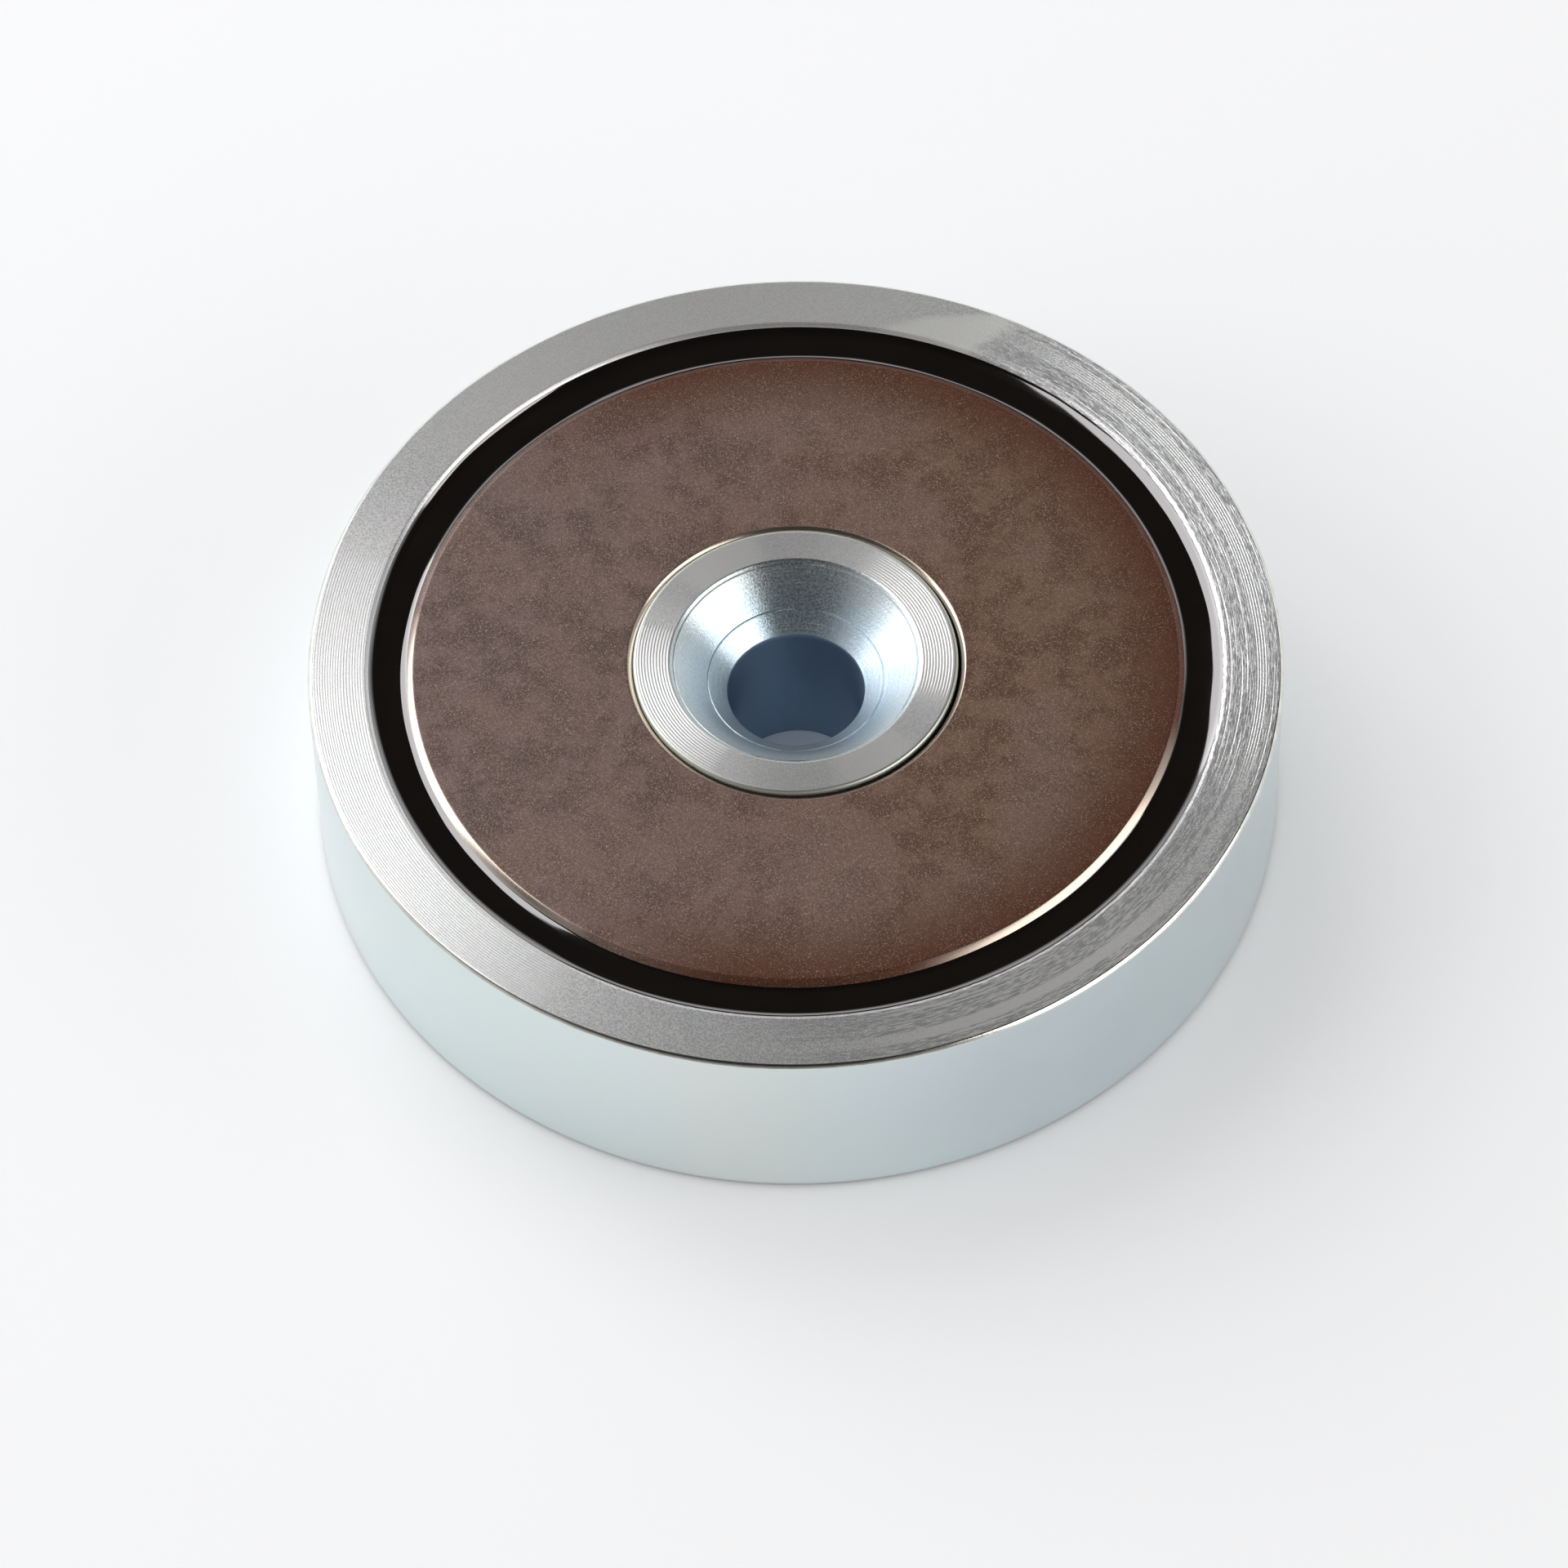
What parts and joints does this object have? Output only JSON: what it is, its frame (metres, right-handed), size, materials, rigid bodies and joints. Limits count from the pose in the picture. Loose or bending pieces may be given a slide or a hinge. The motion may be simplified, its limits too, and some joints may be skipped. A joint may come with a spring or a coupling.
{
  "type": "pot magnet",
  "caption": "Flat round pot magnet: a ring magnet potted in a steel cup, with a countersunk hole through the centre for screwing it down.",
  "frame": {"origin": "centre of the back face, on the screw hole's axis", "axes": "+Z along the screw hole's axis, out of the holding face; the part is round about it, so X and Y are free"},
  "size_m": [0.04, 0.04, 0.0088],
  "materials": {
    "zinc_plated_steel": "turned, bright zinc plated with a pale blue passivation",
    "nickel_plating": "satin nickel plate over a sintered neodymium ring",
    "black_resin": "glossy black epoxy"
  },
  "bodies": {
    "root": {"steel_pot": "zinc_plated_steel", "ring_magnet": "nickel_plating", "potting_resin": "black_resin"}
  },
  "joints": []
}
